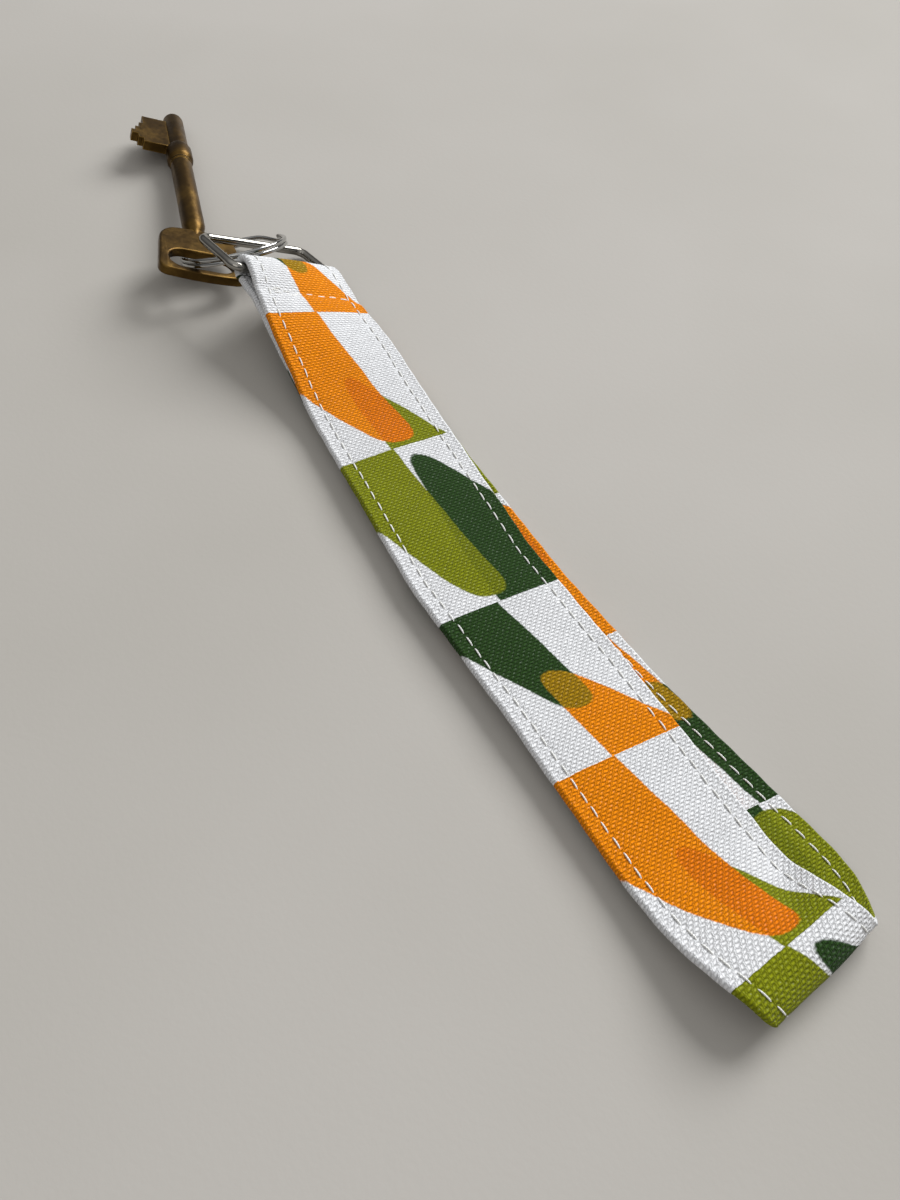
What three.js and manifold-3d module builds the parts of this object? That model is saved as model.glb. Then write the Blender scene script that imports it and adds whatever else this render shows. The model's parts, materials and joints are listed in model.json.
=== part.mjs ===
// Wristlet keychain: a printed fabric wrist loop, a rectangular wire ring held in the loop's sewn
// ring pocket, a split ring through it, and a lever-lock key on the split ring.
// Millimetres, +Z up. It lies on a table: the loop's fold is near x = 0 and the key is towards +X.
import * as THREE from 'three';
import { mergeVertices } from 'three/addons/utils/BufferGeometryUtils.js';
import Module from 'manifold-3d';

const wasm = await Module();
wasm.setup();

// ---- driving dimensions -------------------------------------------------------------------

const STRAP = {
  width: 24.8, // the folded and stitched fabric strip
  thick: 1.9, // four layers of fabric round a stiffener
  wall: 0.35, // one side of the fabric sleeve
  core: 0.6, // the stiffener
  seam: 0.3, // slit where the two folded edges meet
  gap: 0.4, // between the two runs where they lie on each other
};
const CUT = 1.1; // half the clearance left at each of the loop's hinges
const HINGE_X = { ring: 128, middle: 77, turn: 26 }; // hinges along each run
const THREAD = { width: 0.5, height: 0.15, lift: 0.12, inset: 2.8 };
const RING_END = { liftFrom: 135, liftTo: 182, roll: 27, lift: 6.7, openFrom: 168 };
const BAR = { x: 177.6, y: 0, z: 8.8, yaw: 7, wrap: 2.3 }; // the wire ring's bar inside the pocket
const CROSS_STITCH_X = 167;
const WIRE_RING = { bar: 27.8, leg: 14.8, wire: 2, corner: 1.9, pitch: 5.4 };
const SPLIT_RING = { radius: 11.6, wire: 0.9, pitch: 1.02, from: 20, to: 700, jog: 34, steps: 84 };
const SPLIT_PLACE = { x: 192.5, y: 6.7, z: 6.8, tilt: 29, spin: -60 };
const KEY_PLACE = { x: 202.2, y: 12.3, z: 6, yaw: -14, tilt: 3.45, roll: 18 };
const KEY = {
  tip: 55, shankRadius: 2.6, collarRadius: 3.2, collarFrom: 33.5, collarTo: 40,
  bowDepth: 17.5, bowThick: 2.2, slotAt: -12, slotLength: 14.4, slotWidth: 6.8, bitThick: 2.4,
};

// centre lines of the two runs in plan, [x, y]: the upper run is nearly straight, and the lower
// one drifts to -Y towards the fold, so that it shows beside the upper run there
const UPPER_LINE = [[185, 0], [150, -1], [122, 0], [92, 1], [60, -1], [26, -2.3]];
const LOWER_LINE = [[185, 0], [150, -1.6], [118, -1.2], [85, -2.4], [56, -5.4], [26, -10.5]];
// the fold at the loop's end, [x, y, z, yaw of the crease]: a soft teardrop on a slanted crease
const FOLD = [
  [26, -2.3, 3.3, 0], [18, -3, 4.3, 2], [11, -4.4, 6, 7], [5, -6.7, 6.3, 11],
  [2.4, -8.8, 3.8, 12], [5.4, -11, 1.4, 11], [11, -12.2, 1, 7], [18, -11.8, 0.95, 2],
  [26, -10.5, 0.95, 0],
];
const FOLD_CREASE = 4; // index of the crease in FOLD

const COLOURS = {
  fabric: [0xe6e8ec, 0.9, 0], stiffener: [0xf2f0ea, 0.95, 0], thread: [0xf7f7f5, 0.7, 0],
  steel: [0xb9babd, 0.25, 1], brass: [0x6d5426, 0.38, 1],
};

// ---- shared helpers -----------------------------------------------------------------------

const radians = THREE.MathUtils.degToRad;
const smooth = (from, to, x) => THREE.MathUtils.smoothstep(x, from, to);
const keychain = new THREE.Group();

function material(kind) {
  const [color, roughness, metalness] = COLOURS[kind];
  return new THREE.MeshStandardMaterial({ color, roughness, metalness });
}

function addMesh(name, geometry, kind) {
  const mesh = new THREE.Mesh(geometry, material(kind));
  mesh.name = name;
  keychain.add(mesh);
  return mesh;
}

// y of a centre line at x, eased between its points
function lineY(line, x) {
  const i = Math.max(1, line.findIndex(([px]) => px <= x));
  const [x0, y0] = line[i - 1];
  const [x1, y1] = line[i];
  return THREE.MathUtils.lerp(y0, y1, THREE.MathUtils.clamp((x0 - x) / (x0 - x1), 0, 1));
}

// ---- the strap's path: stations with a point and the direction of the strap's width ---------

function widthDirection(yaw, roll) {
  return new THREE.Vector3(0, 1, 0).applyEuler(
    new THREE.Euler(radians(roll), 0, radians(yaw), 'ZXY'));
}

// side is +1 for the upper run and -1 for the lower one
function runStation(side, x) {
  const rise = smooth(RING_END.liftFrom, RING_END.liftTo, x);
  const roll = radians(RING_END.roll * rise);
  const open = smooth(RING_END.openFrom, BAR.x, x);
  const half = THREE.MathUtils.lerp((STRAP.thick + STRAP.gap) / 2, BAR.wrap, open);
  const point = new THREE.Vector3(
    x,
    lineY(side > 0 ? UPPER_LINE : LOWER_LINE, x) - side * half * Math.sin(roll),
    STRAP.thick + STRAP.gap / 2 + RING_END.lift * rise + side * half * Math.cos(roll));
  return { point, across: widthDirection(BAR.yaw * open, RING_END.roll * rise) };
}

// round the bar: angle +90 is above it and -90 below it
function noseStation(angle) {
  const across = widthDirection(BAR.yaw, RING_END.roll);
  const up = new THREE.Vector3(0, 0, 1).addScaledVector(across, -across.z).normalize();
  const out = new THREE.Vector3().crossVectors(across, up);
  const point = new THREE.Vector3(BAR.x, BAR.y, BAR.z)
    .addScaledVector(out, BAR.wrap * Math.cos(radians(angle)))
    .addScaledVector(up, BAR.wrap * Math.sin(radians(angle)));
  return { point, across };
}

const foldLine = new THREE.CatmullRomCurve3(
  FOLD.map(([x, y, z]) => new THREE.Vector3(x, y, z)), false, 'catmullrom', 0.5);
const foldYaw = new THREE.SplineCurve(FOLD.map(([, , , yaw], i) => new THREE.Vector2(i, yaw)));

function foldStation(t) {
  return {
    point: foldLine.getPoint(t),
    tangent: foldLine.getTangent(t),
    across: widthDirection(foldYaw.getPoint(t).y, 0),
  };
}

function stations(make, from, to, step) {
  const count = Math.max(1, Math.round(Math.abs(to - from) / step));
  return Array.from({ length: count + 1 }, (_, i) => make(from + ((to - from) * i) / count));
}

// A closed solid: the section, [across, outward] points in order, carried along the stations.
// The path runs loop-wise, so the direction across x tangent always points out of the loop.
// Where the strap twists its facets all slant the same way, so that its walls stay parallel.
function band(path, section) {
  const positions = [];
  path.forEach(({ point, across, tangent }, i) => {
    const before = path[Math.max(0, i - 1)].point;
    const after = path[Math.min(path.length - 1, i + 1)].point;
    const along = tangent ?? after.clone().sub(before);
    const outward = new THREE.Vector3().crossVectors(across, along).normalize();
    for (const [a, b] of section) {
      const corner = point.clone().addScaledVector(across, a).addScaledVector(outward, b);
      positions.push(corner.x, corner.y, corner.z);
    }
  });
  const n = section.length;
  const index = [];
  for (let i = 0; i < path.length - 1; i += 1) {
    for (let j = 0; j < n; j += 1) {
      const next = (j + 1) % n;
      const a = i * n + j;
      const b = i * n + next;
      if (section[next][0] < section[j][0]) index.push(a, a + n, b + n, a, b + n, b);
      else index.push(a, a + n, b, b, a + n, b + n);
    }
  }
  const last = (path.length - 1) * n;
  const outline = section.map(([a, b]) => new THREE.Vector2(a, b));
  for (const [a, b, c] of THREE.ShapeUtils.triangulateShape(outline, [])) {
    index.push(a, b, c, last + a, last + c, last + b);
  }
  const geometry = new THREE.BufferGeometry();
  geometry.setAttribute('position', new THREE.Float32BufferAttribute(positions, 3));
  geometry.setIndex(index);
  geometry.computeVertexNormals();
  return geometry;
}

// ---- strap sections -----------------------------------------------------------------------

function sleeveSection() {
  const w = STRAP.width / 2;
  const h = STRAP.thick / 2;
  const slit = STRAP.seam / 2;
  const innerW = w - STRAP.wall;
  const innerH = h - STRAP.wall;
  return [
    [-w, -slit], [-w, -h], [w, -h], [w, h], [-w, h], [-w, slit],
    [-innerW, slit], [-innerW, innerH], [innerW, innerH], [innerW, -innerH],
    [-innerW, -innerH], [-innerW, -slit],
  ];
}

function boxSection(middle, width, low, high) {
  const [from, to] = [middle - width / 2, middle + width / 2];
  return [[from, low], [to, low], [to, high], [from, high]];
}

function threadSection(side, face) {
  const middle = side * (STRAP.width / 2 - THREAD.inset);
  const low = STRAP.thick / 2 + THREAD.lift;
  const high = low + THREAD.height;
  return face > 0 ? boxSection(middle, THREAD.width, low, high)
    : boxSection(middle, THREAD.width, -high, -low);
}

// one stretch of strap: fabric sleeve, stiffener and its two rows of edge stitching;
// face says which side the stitching is laid on, +1 outside the loop and -1 inside it
function strapStretch(name, path, face, threadPath = path) {
  const coreWidth = STRAP.width - 4 * STRAP.wall;
  addMesh(`${name}_fabric`, band(path, sleeveSection()), 'fabric');
  addMesh(`${name}_stiffener`, band(path, boxSection(0, coreWidth, -STRAP.core / 2, STRAP.core / 2)),
    'stiffener');
  addMesh(`${name}_stitch_left`, band(threadPath, threadSection(1, face)), 'thread');
  addMesh(`${name}_stitch_right`, band(threadPath, threadSection(-1, face)), 'thread');
}

// ---- the wrist loop -----------------------------------------------------------------------

function wristLoop() {
  const upper = (x) => runStation(1, x);
  const lower = (x) => runStation(-1, x);
  const { ring, middle, turn } = HINGE_X;
  const nose = stations(noseStation, -75, 75, 18.75);
  const above = stations(upper, BAR.x - 0.6, ring + CUT, 1);
  const pocket = [...stations(lower, ring + CUT, BAR.x - 0.6, 1), ...nose, ...above];
  strapStretch('ring_pocket', pocket, 1, above);
  strapStretch('upper_near', stations(upper, ring - CUT, middle + CUT, 6), 1);
  strapStretch('upper_far', stations(upper, middle - CUT, turn + CUT, 6), 1);
  strapStretch('lower_far', stations(lower, turn + CUT, middle - CUT, 6), -1);
  strapStretch('lower_near', stations(lower, middle + CUT, ring - CUT, 6), -1);

  const crease = FOLD_CREASE / (FOLD.length - 1);
  const hingeCut = 0.024; // clearance at the fold's hinges, as a share of its length
  const creaseCut = 0.014; // and on each side of its crease
  const foldAbove = stations(foldStation, hingeCut, crease - creaseCut, 0.045);
  const foldBelow = stations(foldStation, crease + creaseCut, 1 - hingeCut, 0.045);
  strapStretch('fold_upper', foldAbove, 1);
  strapStretch('fold_lower', foldBelow, -1);

  // the row of stitches across the strap that closes the ring pocket
  const seat = runStation(1, CROSS_STITCH_X);
  const along = new THREE.Vector3(1, 0, 0);
  const outward = new THREE.Vector3().crossVectors(along, seat.across).normalize();
  const lift = STRAP.thick / 2 + THREAD.lift + THREAD.height / 2 + 0.1;
  const length = STRAP.width - 2 * THREAD.inset - 2 * THREAD.width;
  const row = addMesh('pocket_cross_stitch',
    new THREE.BoxGeometry(THREAD.width, length, THREAD.height), 'thread');
  row.position.copy(seat.point).addScaledVector(outward, lift);
  row.setRotationFromMatrix(new THREE.Matrix4().makeBasis(
    new THREE.Vector3().crossVectors(seat.across, outward), seat.across, outward));
}

// ---- rings --------------------------------------------------------------------------------

function roundedRectangle(shape, x0, y0, x1, y1, r) {
  shape.moveTo(x0 + r, y0);
  shape.lineTo(x1 - r, y0).absarc(x1 - r, y0 + r, r, -Math.PI / 2, 0);
  shape.lineTo(x1, y1 - r).absarc(x1 - r, y1 - r, r, 0, Math.PI / 2);
  shape.lineTo(x0 + r, y1).absarc(x0 + r, y1 - r, r, Math.PI / 2, Math.PI);
  shape.lineTo(x0, y0 + r).absarc(x0 + r, y0 + r, r, Math.PI, 1.5 * Math.PI);
  return shape;
}

function wireRing() {
  const { bar, leg, wire, corner } = WIRE_RING;
  const bevel = wire * 0.3;
  const half = wire / 2 - bevel;
  const shape = roundedRectangle(new THREE.Shape(),
    -half, -bar / 2 - half, leg + half, bar / 2 + half, corner - bevel);
  shape.holes.push(roundedRectangle(new THREE.Path(),
    half, -bar / 2 + half, leg - half, bar / 2 - half, bevel + 0.1));
  const geometry = new THREE.ExtrudeGeometry(shape, {
    depth: wire - 2 * bevel, bevelEnabled: true, bevelThickness: bevel, bevelSize: bevel,
    bevelSegments: 2, curveSegments: 4,
  });
  geometry.translate(0, 0, -wire / 2 + bevel);
  const mesh = addMesh('wire_ring', geometry, 'steel');
  mesh.position.set(BAR.x, BAR.y, BAR.z);
  mesh.rotation.set(radians(RING_END.roll), radians(WIRE_RING.pitch), radians(BAR.yaw), 'ZXY');
}

// two flat turns, with one short step from the lower to the upper at the end of the first
class Coil extends THREE.Curve {
  getPoint(t, target = new THREE.Vector3()) {
    const { radius, pitch, from, to, jog } = SPLIT_RING;
    const degrees = THREE.MathUtils.lerp(from, to, t);
    const height = pitch * (smooth(360 - jog / 2, 360 + jog / 2, degrees) - 0.5);
    const angle = radians(degrees);
    return target.set(radius * Math.cos(angle), radius * Math.sin(angle), height);
  }
}

function splitRing() {
  const section = new THREE.Shape();
  section.absarc(0, 0, SPLIT_RING.wire / 2, 0, 2 * Math.PI);
  const geometry = new THREE.ExtrudeGeometry(section, {
    extrudePath: new Coil(), steps: SPLIT_RING.steps, curveSegments: 8,
  });
  const mesh = addMesh('split_ring', geometry, 'steel');
  mesh.position.set(SPLIT_PLACE.x, SPLIT_PLACE.y, SPLIT_PLACE.z);
  mesh.rotation.set(0, radians(SPLIT_PLACE.tilt), radians(SPLIT_PLACE.spin));
}

// ---- the key ------------------------------------------------------------------------------
// its own axes: +X along the shank from the bow's inner edge, +Y towards the bit

function solid(geometry) {
  const plain = geometry.index ? geometry.toNonIndexed() : geometry.clone();
  plain.deleteAttribute('normal');
  plain.deleteAttribute('uv');
  const merged = mergeVertices(plain, 1e-4);
  return new wasm.Manifold(new wasm.Mesh({
    numProp: 3,
    vertProperties: new Float32Array(merged.attributes.position.array),
    triVerts: new Uint32Array(merged.index.array),
  }));
}

function keyBow() {
  const { bowDepth, bowThick, slotAt, slotLength, slotWidth } = KEY;
  const shape = new THREE.Shape();
  shape.moveTo(-bowDepth + 3, -9.6);
  shape.lineTo(-4, -8.6).quadraticCurveTo(-0.6, -8, 0.4, -5);
  shape.quadraticCurveTo(1.2, 0, 0.4, 5).quadraticCurveTo(-0.6, 8, -4, 8.6);
  shape.lineTo(-bowDepth + 3, 9.6).quadraticCurveTo(-bowDepth + 0.6, 9.6, -bowDepth + 0.5, 7);
  shape.quadraticCurveTo(-bowDepth - 0.4, 0, -bowDepth + 0.5, -7);
  shape.quadraticCurveTo(-bowDepth + 0.6, -9.6, -bowDepth + 3, -9.6);
  const r = slotWidth / 2;
  shape.holes.push(roundedRectangle(new THREE.Path(),
    slotAt - r, -slotLength / 2, slotAt + r, slotLength / 2, r - 0.01));
  const bevel = 0.35;
  const geometry = new THREE.ExtrudeGeometry(shape, {
    depth: bowThick - 2 * bevel, bevelEnabled: true, bevelThickness: bevel, bevelSize: bevel,
    bevelOffset: -bevel, bevelSegments: 1, curveSegments: 6,
  });
  return geometry.translate(0, 0, -bowThick / 2 + bevel);
}

function keyShank() {
  const { tip, shankRadius: r, collarRadius: c, collarFrom, collarTo } = KEY;
  const profile = [
    [0, -1.5], [r, -1.5], [r, collarFrom - 0.6], [c, collarFrom], [c, collarTo - 1.5],
    [r, collarTo], [r, tip - 1.2], [r - 0.5, tip - 0.4], [r - 1.3, tip], [0, tip],
  ].map(([x, y]) => new THREE.Vector2(x, y));
  return new THREE.LatheGeometry(profile, 20).rotateZ(-Math.PI / 2);
}

function keyBit() {
  const outline = [
    [38.5, 0], [38.5, 8.6], [40.1, 8.6], [40.1, 9.8], [41.9, 9.8], [41.9, 11.3], [43.7, 11.3],
    [43.7, 10.2], [45.5, 10.2], [45.5, 9.2], [47.7, 9.2], [47.7, 8.2], [51.5, 8.2], [51.5, 0],
  ].map(([x, y]) => new THREE.Vector2(x, y));
  const geometry = new THREE.ExtrudeGeometry(new THREE.Shape(outline), {
    depth: KEY.bitThick, bevelEnabled: false,
  });
  return geometry.translate(0, 0, -KEY.bitThick / 2);
}

function key() {
  const whole = solid(keyBow()).add(solid(keyShank())).add(solid(keyBit()));
  const { vertProperties, triVerts } = whole.getMesh();
  const geometry = new THREE.BufferGeometry();
  geometry.setAttribute('position', new THREE.Float32BufferAttribute(vertProperties, 3));
  geometry.setIndex(Array.from(triVerts));
  geometry.computeVertexNormals();
  const mesh = addMesh('key', geometry, 'brass');
  mesh.position.set(KEY_PLACE.x, KEY_PLACE.y, KEY_PLACE.z);
  mesh.rotation.set(
    radians(KEY_PLACE.roll), radians(KEY_PLACE.tilt), radians(KEY_PLACE.yaw), 'ZYX');
}

// ---- assembly -----------------------------------------------------------------------------

wristLoop();
wireRing();
splitRing();
key();

// origin under the middle of the whole object, on the surface that it lies on
keychain.updateMatrixWorld(true);
const box = new THREE.Box3().setFromObject(keychain, true);
const centre = box.getCenter(new THREE.Vector3());
keychain.position.set(-centre.x, -centre.y, -box.min.z);

export default keychain;
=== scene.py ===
import json
import math

import bmesh
import bpy
import numpy as np
from mathutils import Matrix, Vector


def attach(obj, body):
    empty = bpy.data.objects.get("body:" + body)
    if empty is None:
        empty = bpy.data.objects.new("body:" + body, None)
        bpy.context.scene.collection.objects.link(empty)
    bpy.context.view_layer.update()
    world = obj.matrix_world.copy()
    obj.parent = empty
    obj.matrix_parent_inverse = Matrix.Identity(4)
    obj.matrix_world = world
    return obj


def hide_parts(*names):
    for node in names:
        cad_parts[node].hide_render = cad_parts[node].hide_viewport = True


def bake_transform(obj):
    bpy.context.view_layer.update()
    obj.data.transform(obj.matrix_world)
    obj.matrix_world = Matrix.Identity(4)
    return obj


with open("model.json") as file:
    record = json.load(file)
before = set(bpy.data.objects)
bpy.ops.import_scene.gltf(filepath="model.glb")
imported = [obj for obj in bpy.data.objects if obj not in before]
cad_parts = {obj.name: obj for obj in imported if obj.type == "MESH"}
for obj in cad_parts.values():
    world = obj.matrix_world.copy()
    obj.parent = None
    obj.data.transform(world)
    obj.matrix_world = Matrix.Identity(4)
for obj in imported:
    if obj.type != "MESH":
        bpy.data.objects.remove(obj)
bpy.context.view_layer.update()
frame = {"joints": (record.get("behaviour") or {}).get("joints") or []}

MM = 0.001

# The strap's own axes, in millimetres, as the CAD has them: x runs from the loop's fold to the
# rings. HINGES are the CAD's hinge lines along x, and loop_open's place ties them to the row frame.
HINGES = {"ring": 128, "middle": 77, "turn": 26}
RUN_Z = {"upper": 3.25, "lower": 0.95}
JOINTS = {j["name"]: j for j in frame["joints"]}
ORIGIN = np.array(JOINTS["loop_open"]["pos_m"]) / MM - (HINGES["ring"], 0, RUN_Z["upper"])


def row(points):
    """Points in the strap's axes, in millimetres, as points of the row frame in metres."""
    return (np.asarray(points, float) + ORIGIN) * MM


def joint_place(name):
    """A joint's place in the strap's axes, in millimetres."""
    return np.array(JOINTS[name]["pos_m"]) / MM - ORIGIN


def turned(*turns):
    """The matrix of some turns, each (axis, degrees), of which the last one is made first."""
    whole = Matrix.Identity(3)
    for axis, degrees in turns:
        whole = whole @ Matrix.Rotation(math.radians(degrees), 3, axis)
    return whole


# ---- camera ---------------------------------------------------------------------------------

LENS = 34.55
CAMERA_PLACE = (-0.14739, 0.07680, 0.16500)
# the ways that the photo's right, its foot and its depth point in the row frame
PHOTO_RIGHT = (-0.471, -0.880, 0.0645)
PHOTO_DOWN = (-0.714, 0.337, -0.614)
PHOTO_AHEAD = (0.5185, -0.335, -0.787)


def make_camera():
    data = bpy.data.cameras.new("camera")
    data.sensor_width = 36
    data.lens = LENS
    camera = bpy.data.objects.new("camera", data)
    right, down, ahead = (Vector(way).normalized() for way in (PHOTO_RIGHT, PHOTO_DOWN, PHOTO_AHEAD))
    turn = Matrix((right, -down, -ahead)).transposed().to_4x4()
    camera.matrix_world = Matrix.Translation(CAMERA_PLACE) @ turn
    data.clip_start, data.clip_end = 0.01, 20
    bpy.context.scene.collection.objects.link(camera)
    bpy.context.scene.camera = camera


# ---- node helpers ---------------------------------------------------------------------------

def set_stops(ramp, stops):
    """Gives a colour ramp its stops, each (position, colour)."""
    while len(ramp.elements) < len(stops):
        ramp.elements.new(1.0)
    for element, (position, colour) in zip(ramp.elements, stops):
        element.position = position
        element.color = colour


class Nodes:
    """Short calls that add a material's nodes and give back their output sockets."""

    def __init__(self, name):
        self.material = bpy.data.materials.new(name)
        self.material.use_nodes = True
        self.tree = self.material.node_tree
        self.shader = self.tree.nodes["Principled BSDF"]

    def link(self, value, socket):
        if isinstance(value, bpy.types.NodeSocket):
            self.tree.links.new(value, socket)
        elif value is not None:
            socket.default_value = value

    def math(self, operation, a, b=None, c=None, clamp=False):
        node = self.tree.nodes.new("ShaderNodeMath")
        node.operation = operation
        node.use_clamp = clamp
        for value, socket in zip((a, b, c), node.inputs):
            self.link(value, socket)
        return node.outputs[0]

    def mix(self, factor, a, b, blend="MIX"):
        node = self.tree.nodes.new("ShaderNodeMix")
        node.data_type = "RGBA"
        node.blend_type = blend
        self.link(factor, node.inputs[0])
        self.link(a, node.inputs[6])
        self.link(b, node.inputs[7])
        return node.outputs[2]

    def uv(self, name):
        node = self.tree.nodes.new("ShaderNodeUVMap")
        node.uv_map = name
        split = self.tree.nodes.new("ShaderNodeSeparateXYZ")
        self.tree.links.new(node.outputs[0], split.inputs[0])
        return node.outputs[0], split.outputs[0], split.outputs[1]

    def place(self):
        return self.tree.nodes.new("ShaderNodeTexCoord").outputs["Object"]

    def noise(self, vector, scale, detail=2.0, roughness=0.5):
        node = self.tree.nodes.new("ShaderNodeTexNoise")
        self.link(vector, node.inputs["Vector"])
        node.inputs["Scale"].default_value = scale
        node.inputs["Detail"].default_value = detail
        node.inputs["Roughness"].default_value = roughness
        return node.outputs[0]

    def stray(self, vector, scale, reach, detail):
        """Noise that strays to either side of nought by half of reach."""
        return self.math("MULTIPLY_ADD", self.noise(vector, scale, detail), reach, -reach / 2)

    def ramp(self, factor, stops, constant=False):
        node = self.tree.nodes.new("ShaderNodeValToRGB")
        node.color_ramp.interpolation = "CONSTANT" if constant else "LINEAR"
        set_stops(node.color_ramp, stops)
        self.link(factor, node.inputs[0])
        return node.outputs[0]

    def scale_range(self, value, low, high, to_low=0.0, to_high=1.0, smooth=False):
        node = self.tree.nodes.new("ShaderNodeMapRange")
        node.interpolation_type = "SMOOTHSTEP" if smooth else "LINEAR"
        for item, socket in zip((value, low, high, to_low, to_high), node.inputs):
            self.link(item, socket)
        return node.outputs[0]

    def bump(self, height, strength, distance, normal=None):
        node = self.tree.nodes.new("ShaderNodeBump")
        node.inputs["Strength"].default_value = strength
        node.inputs["Distance"].default_value = distance
        self.link(height, node.inputs["Height"])
        if normal is not None:
            self.link(normal, node.inputs["Normal"])
        return node.outputs[0]

    def set(self, **inputs):
        for name, value in inputs.items():
            self.link(value, self.shader.inputs[name.replace("_", " ")])
        return self.material


def grey(value):
    return (value, value, value, 1.0)


def srgb(text):
    """A colour written as RRGGBB, as linear RGBA."""
    parts = [int(text[i:i + 2], 16) / 255 for i in (0, 2, 4)]
    return tuple(p / 12.92 if p <= 0.04045 else ((p + 0.055) / 1.055) ** 2.4 for p in parts) + (1.0,)


# ---- the printed fabric ---------------------------------------------------------------------

CLOTH = srgb("E9EAEC")
ORANGE, OLIVE, FOREST = srgb("EE8A00"), srgb("82890F"), srgb("28441A")
DEEP_ORANGE, BROWN_OLIVE, DARK_OLIVE = srgb("E27800"), srgb("A07C08"), srgb("747C0C")
REPEAT = 39.4  # one cell of the print, mm
# how softly a petal's outline turns, where its two lines meet and at its cap, mm
TIP_ROUND = 9.0
CAP_ROUND = TIP_ROUND * 0.7
PETAL_WANDER, CELL_WANDER = 0.35, 0.25  # how much of the ink's wandering petals and cells take
INK_FADE = 0.16  # half the width over which the ink fades out at its edge, mm
ROW_PITCH, FLOAT_PITCH = 0.62, 1.12  # the weave's rows along the strap and its floats across it, mm
# Each cell has a left petal that starts square at the cell's first line and a right petal that ends
# square at its last one. A petal is the space between two slanting lines, each (value at 0, slope),
# and a cap.
LEFT_PETALS = (
    {"outer": (15.4, -0.48), "inner": (-0.4, -0.13), "cap": 28.8},
    {"outer": (21.7, -0.55), "inner": (0.0, -0.17), "cap": 38.6},
    {"outer": (18.4, -0.42), "inner": (0.2, -0.13), "cap": 38.4},
)
RIGHT_PETALS = (
    {"outer": (10.0, -0.63), "inner": (5.6, -0.13), "cap": 17.0},
    {"outer": (8.5, -0.52), "inner": (4.6, -0.105), "cap": 15.5},
    {"outer": (-3.6, -0.55), "inner": (-1.2, 0.01), "cap": 0.4},
)


def petal(n, along, across, shape, side):
    """How far outside a petal a place on the print is, in mm; side is +1 for a left petal."""
    def line(name, sign):
        start, slope = shape[name]
        level = n.math("MULTIPLY_ADD", along, slope, start)
        gap = n.math("SUBTRACT", across, level)
        return n.math("MULTIPLY", gap, sign / math.hypot(1, slope))
    outer, inner = line("outer", side), line("inner", -side)
    cap = n.math("MULTIPLY", n.math("SUBTRACT", along, shape["cap"]), side)
    both = n.math("SMOOTH_MAX", outer, inner, TIP_ROUND)
    return n.math("SMOOTH_MAX", both, cap, CAP_ROUND)


def printed_colour(n, weave_vector):
    """The print's colour, and how much of a place is inked, from 0 to 1."""
    _, cell, across = n.uv("print")
    # the ink's edge wanders from thread to thread, and more slowly along the strap
    edge_shift = n.math("ADD", n.stray(weave_vector, 1.6, 0.9, 1.0), n.stray(weave_vector, 0.12, 1.6, 1.0))
    whole = n.math("FLOOR", n.math("MULTIPLY_ADD", edge_shift, CELL_WANDER / REPEAT, cell))
    along = n.math("MULTIPLY", n.math("SUBTRACT", cell, whole), REPEAT)
    kinds = len(LEFT_PETALS)
    kind = n.math("FLOORED_MODULO", whole, float(kinds))
    picks = [n.math("COMPARE", kind, float(i), 0.5) for i in range(kinds)]

    def mask(petals, side):
        total = 0.0
        for shape, pick in zip(petals, picks):
            shift = n.math("MULTIPLY", edge_shift, PETAL_WANDER)
            away = n.math("ADD", petal(n, along, across, shape, side), shift)
            inside = n.scale_range(away, -INK_FADE, INK_FADE, 1.0, 0.0, smooth=True)
            total = n.math("MULTIPLY_ADD", inside, pick, total)
        return total

    def by_kind(*colours):
        factor = n.math("MULTIPLY_ADD", kind, 1 / kinds, 0.5 / kinds)
        return n.ramp(factor, [(i / kinds, c) for i, c in enumerate(colours)], constant=True)

    left, right = mask(LEFT_PETALS, 1), mask(RIGHT_PETALS, -1)
    overlap = by_kind(BROWN_OLIVE, DEEP_ORANGE, DARK_OLIVE)
    left_ink = n.mix(right, by_kind(FOREST, ORANGE, OLIVE), overlap)
    right_ink = n.mix(right, CLOTH, by_kind(ORANGE, OLIVE, FOREST))
    return n.mix(left, right_ink, left_ink), n.math("MAXIMUM", left, right)


def woven_threads(n, weave_vector, run, girth):
    """The height of the threads, from 0 in the gaps: short floats across the strap, each row half a
    step on from the last, and between them the threads that run along it."""
    wobble = n.stray(weave_vector, 0.8, 0.5, 2.0)
    rows = n.math("DIVIDE", n.math("ADD", run, wobble), ROW_PITCH)
    row_place = n.math("SUBTRACT", n.math("FRACT", rows), 0.5)
    stagger = n.math("MULTIPLY", n.math("FLOORED_MODULO", n.math("FLOOR", rows), 2.0), 0.5)
    floats = n.math("ADD", n.math("DIVIDE", n.math("ADD", girth, wobble), FLOAT_PITCH), stagger)
    slant = n.math("MULTIPLY_ADD", row_place, 0.3, floats)
    float_place = n.math("SUBTRACT", n.math("FRACT", slant), 0.5)
    weft = n.math("MULTIPLY", n.math("COSINE", n.math("MULTIPLY", row_place, math.pi)),
                  n.math("COSINE", n.math("MULTIPLY", float_place, math.pi)))
    warp_place = n.math("SUBTRACT", 0.5, n.math("ABSOLUTE", float_place))
    warp_arch = n.math("COSINE", n.math("MULTIPLY", warp_place, 2.6 * math.pi), clamp=True)
    return n.math("MAXIMUM", weft, n.math("MULTIPLY", warp_arch, 0.45))


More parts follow.
